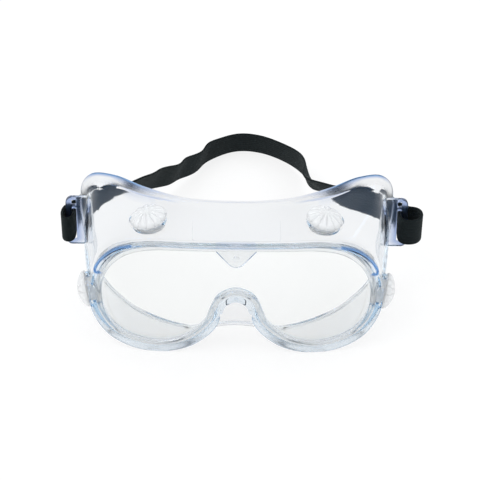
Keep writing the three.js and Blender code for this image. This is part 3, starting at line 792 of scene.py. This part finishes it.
def stitch_lines(start, sign):
    """The box stitch of one end as short lines, each from one place along and across to another.
    start is where its first thread begins and sign is the way the stitching goes."""
    lines = [[(start + sign * s, w), (start + sign * (s + STITCH), w)]
             for s in STITCH_PITCH * np.arange(STITCH_ALONG["count"])
             for w in STITCH_ALONG["across"]]
    for near in STITCH_ACROSS["along"]:
        at = start + sign * near
        lines += [[(at, w), (at, w + STITCH)]
                  for w in STITCH_ACROSS["start"] + STITCH_PITCH * np.arange(STITCH_ACROSS["count"])]
    return lines


def stitches():
    """The thread of the box stitches that hold each tail on the main run."""
    centre, width, thick, along = strap_frames()
    lift = STRAP_THICK / 2 + STITCH_LIFT
    verts, faces, base = [], [], 0
    lines = stitch_lines(STITCH_FROM, 1) + stitch_lines(along[-1] - STITCH_FROM, -1)
    for (s0, w0), (s1, w1) in lines:
        path = []
        for f in np.linspace(0, 1, 7):
            s, w = s0 + (s1 - s0) * f, w0 + (w1 - w0) * f
            at, wide, up = (np.array([np.interp(s, along, line[:, k]) for k in range(3)])
                            for line in (centre, width, thick))
            outer = 1 if up[0] * at[0] > 0 else -1
            rise = lift + STITCH_ARCH * math.sin(math.pi * f)
            path.append(at + unit(wide) * w + unit(up) * outer * rise)
        piece = tube("stitch", path, STITCH_R, sides=6)
        data = piece.data
        verts.append(np.array([v.co for v in data.vertices]))
        faces += [tuple(i + base for i in p.vertices) for p in data.polygons]
        base += len(data.vertices)
        bpy.data.objects.remove(piece)
        bpy.data.meshes.remove(data)
    return to_row(make_mesh("strap_thread", np.vstack(verts), faces), crease=80)


# ---------------------------------------------------------------- materials


class Nodes:
    """A small helper over one material's node tree."""

    def __init__(self, name):
        self.material = bpy.data.materials.new(name)
        self.material.use_nodes = True
        self.tree = self.material.node_tree
        self.tree.nodes.clear()
        self.out = self.add("ShaderNodeOutputMaterial")

    def add(self, kind, inputs=None, **settings):
        node = self.tree.nodes.new(kind)
        for key, value in settings.items():
            setattr(node, key, value)
        for key, value in (inputs or {}).items():
            if isinstance(value, bpy.types.NodeSocket):
                self.tree.links.new(value, node.inputs[key])
            else:
                node.inputs[key].default_value = value
        return node

    def object_space(self):
        return self.add("ShaderNodeTexCoord").outputs["Object"]

    def mark(self, name):
        return self.add("ShaderNodeAttribute", attribute_name=name).outputs["Fac"]

    def math(self, operation, *values):
        return self.add("ShaderNodeMath", dict(enumerate(values)), operation=operation).outputs[0]

    def mix(self, share, first, second):
        inputs = {0: share, 6: (*first, 1), 7: (*second, 1)}
        return self.add("ShaderNodeMix", inputs, data_type="RGBA").outputs[2]

    def noise(self, vector, scale, detail=3.0, roughness=0.55):
        return self.add("ShaderNodeTexNoise", {"Vector": vector, "Scale": scale, "Detail": detail,
                                               "Roughness": roughness}).outputs["Fac"]

    def remap(self, value, low, high, out_low, out_high):
        return self.add("ShaderNodeMapRange", {"Value": value, "From Min": low, "From Max": high,
                                               "To Min": out_low, "To Max": out_high}).outputs[0]

    def bump(self, height, distance, strength=1.0, normal=None):
        inputs = {"Height": height, "Distance": distance, "Strength": strength}
        if normal is not None:
            inputs["Normal"] = normal
        return self.add("ShaderNodeBump", inputs).outputs[0]

    def finish(self, inputs, volume=None):
        shader = self.add("ShaderNodeBsdfPrincipled", inputs)
        self.tree.links.new(shader.outputs[0], self.out.inputs["Surface"])
        if volume is not None:
            self.tree.links.new(volume, self.out.inputs["Volume"])
        return self.material


SATIN = 0.3  # the roughness that an unpolished part of the mould adds


def clear_plastic(name, tint, clear, ior, polish, ripple, absorb=None, painted_piping=None,
                  gloss=(1, 1, 1), painted_glow=0.0):
    """A clear or milky moulding with soft flow ripples and a slightly uneven polish. clear is the
    share of light that passes, polish the roughness range, ripple its scale and depth, absorb
    the colour and density of the plastic looked through, gloss the tint of what it mirrors and
    the emission strength a painted glow, standing in for the light that milky plastic spreads.
    The piping colour is a painted deeper tint, standing in for light piped along the moulding,
    where a mesh is marked for it, and such a mesh is marked for its satin places too."""
    n = Nodes(name)
    where = n.object_space()
    scale, depth = ripple
    flow = n.noise(where, scale, 2.0)
    grain = n.noise(where, scale * 14, 3.0, 0.6)
    rough = n.remap(grain, 0.3, 0.7, *polish)
    normal = n.bump(grain, depth * 0.02, 0.5, n.bump(flow, depth, 0.6))
    colour = (*tint, 1)
    if painted_piping:
        rough = n.math("MULTIPLY_ADD", n.mark("satin"), SATIN, rough)
        # Painted deeper tint where the mesh is marked, standing in for light piped along the
        # moulding.
        colour = n.mix(n.mark("painted_piped_tint"), tint, painted_piping)
    volume = None
    if absorb:
        hue, density = absorb
        inputs = {"Color": (*hue, 1), "Density": density}
        volume = n.add("ShaderNodeVolumeAbsorption", inputs).outputs[0]
    return n.finish({
        "Base Color": colour, "Roughness": rough, "IOR": ior, "Normal": normal,
        "Transmission Weight": clear, "Specular Tint": (*gloss, 1),
        # Emission here is a painted glow, standing in for light spread through milky plastic.
        "Emission Color": (1, 1, 1, 1), "Emission Strength": painted_glow,
    }, volume)


def webbing_material():
    """Black braided elastic. The ribs are in the mesh, and the threads on them lie in short
    staggered cells."""
    n = Nodes("strap_webbing")
    uv = n.add("ShaderNodeUVMap", uv_map="UVMap").outputs[0]
    pitch = STRAP_WIDTH / STRAP_RIBS / 1000
    turned = n.add("ShaderNodeMapping", {
        "Vector": uv, "Rotation": (0, 0, math.pi / 2), "Location": (0, pitch / 2, 0)}).outputs[0]
    cells = n.add("ShaderNodeTexBrick", {
        "Vector": turned, "Scale": 1.0, "Brick Width": 0.0011, "Row Height": pitch / 2,
        "Color1": (1, 1, 1, 1), "Color2": (0.82, 0.82, 0.82, 1), "Mortar": (0, 0, 0, 1),
        "Mortar Size": pitch * 0.16, "Mortar Smooth": 1.0,
    }, offset=0.5).outputs["Color"]
    where = n.object_space()
    fibres = n.noise(where, 2600, 2.0, 0.7)
    patches = n.noise(where, 60, 3.0)
    height = n.math("ADD", cells, n.remap(fibres, 0, 1, -0.3, 0.3))
    # The cells' raised tops are painted lighter and the grooves between them darker: a painted
    # highlight on the ridges and painted shade in the grooves, with random patches of tone on top.
    share = n.math("MULTIPLY", cells, n.remap(patches, 0.3, 0.7, 0.65, 1.0))
    return n.finish({
        "Base Color": n.mix(share, (0.0012, 0.0026, 0.0032), (0.0065, 0.0135, 0.0155)),
        "Roughness": n.remap(fibres, 0.2, 0.8, 0.72, 0.92), "Normal": n.bump(height, 0.00014, 0.9),
        "Sheen Weight": 0.06, "Sheen Roughness": 0.5, "Sheen Tint": (0.6, 0.7, 0.7, 1),
        "Specular IOR Level": 0.16,
    })


def thread_material():
    """Dark twisted polyester, a little lighter and smoother than the webbing."""
    n = Nodes("sewing_thread")
    twist = n.noise(n.object_space(), 3200, 2.0, 0.6)
    return n.finish({
        "Base Color": n.mix(twist, (0.012, 0.015, 0.015), (0.05, 0.058, 0.058)),
        "Roughness": n.remap(twist, 0.2, 0.8, 0.45, 0.65), "Normal": n.bump(twist, 0.00005, 0.8),
    })


def floor_material():
    """A near-white floor that keeps a faint shadow."""
    n = Nodes("studio_floor")
    speck = n.noise(n.object_space(), 40, 2.0)
    return n.finish({
        "Base Color": n.mix(speck, (0.21, 0.21, 0.21), (0.23, 0.23, 0.23)),
        "Roughness": 0.9, "Specular IOR Level": 0.0,
        "Emission Color": (1, 1, 1, 1), "Emission Strength": 0.79,
    })


def dress(obj, material):
    obj.data.materials.clear()
    obj.data.materials.append(material)
    return obj


# ---------------------------------------------------------------- assembly

vinyl = clear_plastic(
    "soft_vinyl", (0.918, 0.916, 0.918), clear=0.995, ior=1.36, polish=(0.02, 0.06),
    # The blue piping colour is a painted deeper tint that stands in for light piped along the vinyl's
    # edges.
    ripple=(45, 0.0003), absorb=((0.3, 0.62, 0.86), 20), painted_piping=(0.04, 0.18, 0.56),
    gloss=(0.15, 0.42, 0.9))
polycarbonate = clear_plastic(
    "lens_polycarbonate", (0.953, 0.964, 0.959), clear=1.0, ior=1.55, polish=(0.01, 0.03),
    ripple=(16, 0.00008), absorb=((0.62, 0.76, 0.74), 2))
# The vent caps and seats paint a glow by emission, standing in for light that translucent plastic
# spreads; the seats' glow is the stronger.
natural = clear_plastic(
    "vent_plastic", (0.95, 0.955, 0.96), clear=0.32, ior=1.4, polish=(0.06, 0.13),
    ripple=(120, 0.0001), painted_glow=0.015)
milky = clear_plastic(
    "vent_seat_plastic", (0.93, 0.935, 0.94), clear=0.32, ior=1.4, polish=(0.06, 0.13),
    ripple=(120, 0.0001), painted_glow=0.1)
webbing = webbing_material()
thread = thread_material()

shell = dress(goggle_frame(), vinyl)
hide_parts("frame")
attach(shell, "frame")

sheet = dress(lens(), polycarbonate)
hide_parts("lens")
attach(sheet, "frame")

for vent in VENTS:
    seat = dress(vent_base(vent), milky)
    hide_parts("vent_base_" + vent)
    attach(seat, "frame")
    cap = dress(vent_cap(vent), natural)
    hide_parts("vent_cap_" + vent)
    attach(cap, "vent_cap_" + vent)

band = dress(strap(), webbing)
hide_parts("strap", "strap_loop_left", "strap_loop_right")
seams = dress(stitches(), thread)
for piece in (band, seams):
    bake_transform(piece)

# ---------------------------------------------------------------- stage (metres)

FLOOR_HALF, FLOOR_Z = 3, -0.0001
corners = [(x * FLOOR_HALF, y * FLOOR_HALF, FLOOR_Z) for x, y in ((-1, -1), (1, -1), (1, 1), (-1, 1))]
floor = make_mesh("floor", corners, [(0, 1, 2, 3)])
dress(floor, floor_material())

scene = bpy.context.scene
scene.view_settings.view_transform = "Standard"
# Light bounces many times inside the clear walls, and fewer bounces leave black spots.
scene.cycles.max_bounces = 256
scene.cycles.transmission_bounces = 256
scene.cycles.glossy_bounces = 256
scene.cycles.volume_bounces = 2
scene.cycles.transparent_max_bounces = 16
world = bpy.data.worlds.new("studio")
scene.world = world
world.use_nodes = True
sky = world.node_tree.nodes["Background"]
sky.inputs["Color"].default_value = (0.95, 0.975, 1.0, 1)
sky.inputs["Strength"].default_value = 0.97


def softbox(name, at, size, power):
    """A soft rectangular light that shines at the object."""
    light = bpy.data.lights.new(name, "AREA")
    light.shape, light.energy = "RECTANGLE", power
    light.size, light.size_y = size
    obj = bpy.data.objects.new(name, light)
    obj.location = at
    obj.rotation_mode = "QUATERNION"
    obj.rotation_quaternion = (-Vector(at)).to_track_quat("-Z", "Y")
    scene.collection.objects.link(obj)


softbox("key", (-0.7, -0.5, 1.3), size=(0.9, 0.6), power=5.0)
softbox("fill", (0.9, 0.3, 1.0), size=(0.7, 0.5), power=1.6)

EYE = (1.8, -668.8, 602.2)  # mm, in the goggles' own frame
LENS_MM, SENSOR_MM = 130.07, 36.0
ELEVATION, AIM_UP, ROLL = 42.0, 3.742, 0.45  # degrees
camera = bpy.data.objects.new("camera", bpy.data.cameras.new("camera"))
scene.collection.objects.link(camera)
scene.camera = camera
pitch = math.radians(90 - ELEVATION + AIM_UP)
aim = Matrix.Rotation(pitch, 4, "X") @ Matrix.Rotation(math.radians(ROLL), 4, "Z")
camera.location = row(EYE)
camera.rotation_mode = "QUATERNION"
camera.rotation_quaternion = aim.to_quaternion()
camera.data.sensor_width, camera.data.lens = SENSOR_MM, LENS_MM
camera.data.clip_start, camera.data.clip_end = 0.05, 20
